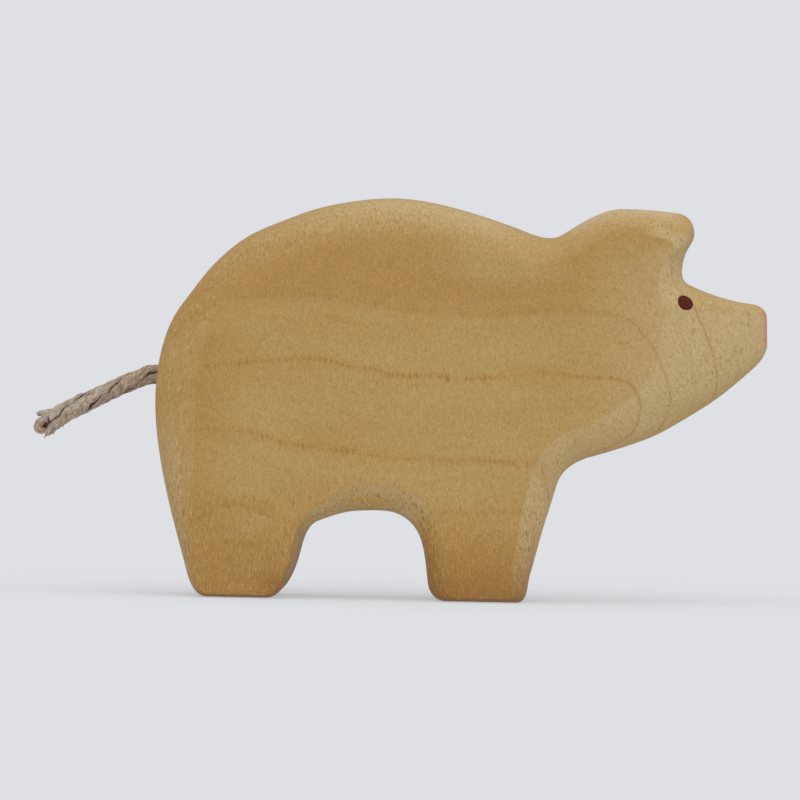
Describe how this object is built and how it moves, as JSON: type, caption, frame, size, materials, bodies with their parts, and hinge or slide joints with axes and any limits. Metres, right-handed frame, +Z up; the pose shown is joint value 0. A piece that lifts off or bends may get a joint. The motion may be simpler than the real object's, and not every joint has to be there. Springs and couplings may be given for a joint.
{
  "type": "wooden pig figurine",
  "caption": "Carved wooden pig figurine that stands on flat soles, with painted eyes and snout and a bendable twine tail glued into its rump.",
  "frame": {"origin": "on the floor under the middle of the body's length and thickness, without the tail", "axes": "+X forward from rump to snout, +Y to the pig's left, +Z up"},
  "size_m": [0.1199, 0.024, 0.0656],
  "materials": {
    "wood": "hand-sanded maple with a thin oil, matte",
    "twine": "undyed twisted linen twine, frayed at its free end",
    "glue": "dried wood glue",
    "eye_paint": "dark brown matte paint",
    "snout_paint": "thin coral red matte paint"
  },
  "bodies": {
    "figure": {"body": "wood", "eye_paint_right": "eye_paint", "eye_paint_left": "eye_paint", "snout_paint": "snout_paint", "tail_root": "twine", "tail_glue": "glue"},
    "tail": {"tail_cord": "twine"}
  },
  "joints": [
    {"name": "tail_lift", "type": "hinge", "parent": "figure", "child": "tail", "pos_m": [-0.05164, 0, 0.0361], "axis": [0, 1, 0], "range_deg": [-35, 60], "stiffness_Nm_per_rad": 0.002}
  ]
}
